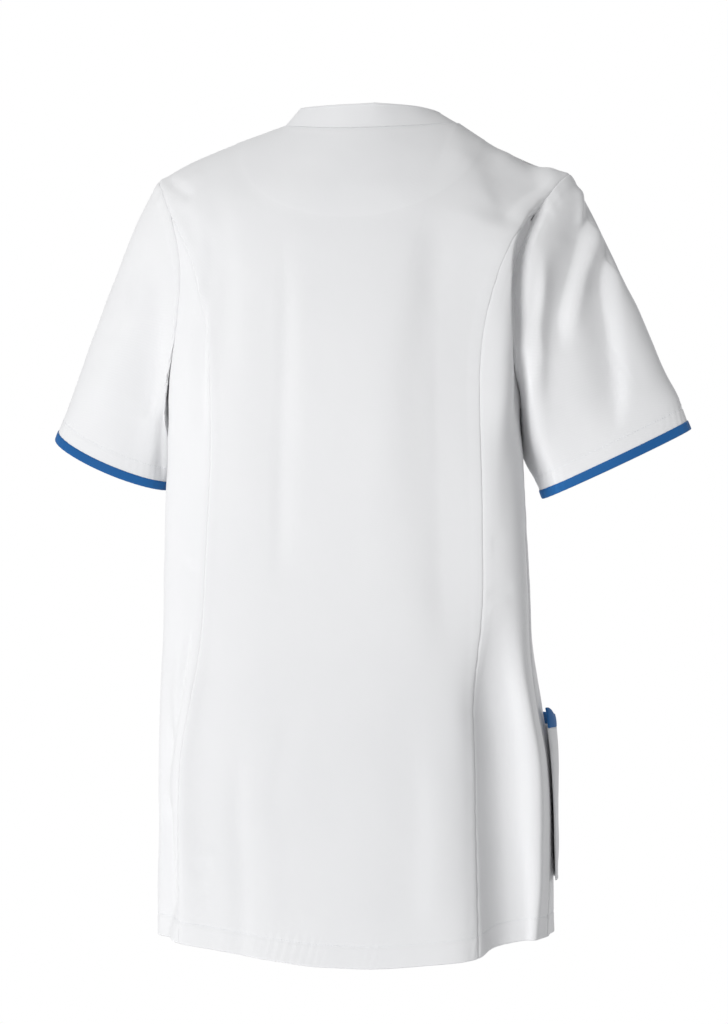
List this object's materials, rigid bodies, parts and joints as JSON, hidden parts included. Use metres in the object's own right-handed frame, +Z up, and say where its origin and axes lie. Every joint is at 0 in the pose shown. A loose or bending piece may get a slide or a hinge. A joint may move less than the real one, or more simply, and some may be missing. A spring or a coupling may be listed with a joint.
{
  "type": "medical tunic",
  "caption": "Short-sleeved white medical tunic in its worn, hollow form, with a standing collar, V neck, curved back seams, hip pockets and blue edging at the cuffs and pockets.",
  "frame": {"origin": "midway between the two points where the shoulder seams meet the neckline, where the wearer's neck and shoulders carry the tunic", "axes": "+Z up the body, -Y out of the front (chest) and +Y out of the back, +X to the wearer's left"},
  "size_m": [0.5933, 0.2705, 0.7684],
  "materials": {
    "tunic_white": "matt white twill",
    "tunic_blue": "matt blue twill"
  },
  "bodies": {
    "root": {"back_centre": "tunic_white", "back_neck_facing": "tunic_white", "back_side_left": "tunic_white", "back_side_right": "tunic_white", "collar": "tunic_white", "front": "tunic_white", "pocket_band_left": "tunic_blue", "pocket_band_right": "tunic_blue", "pocket_left": "tunic_white", "pocket_right": "tunic_white", "sleeve_binding_left": "tunic_blue", "sleeve_binding_right": "tunic_blue", "sleeve_left": "tunic_white", "sleeve_right": "tunic_white"}
  },
  "joints": []
}
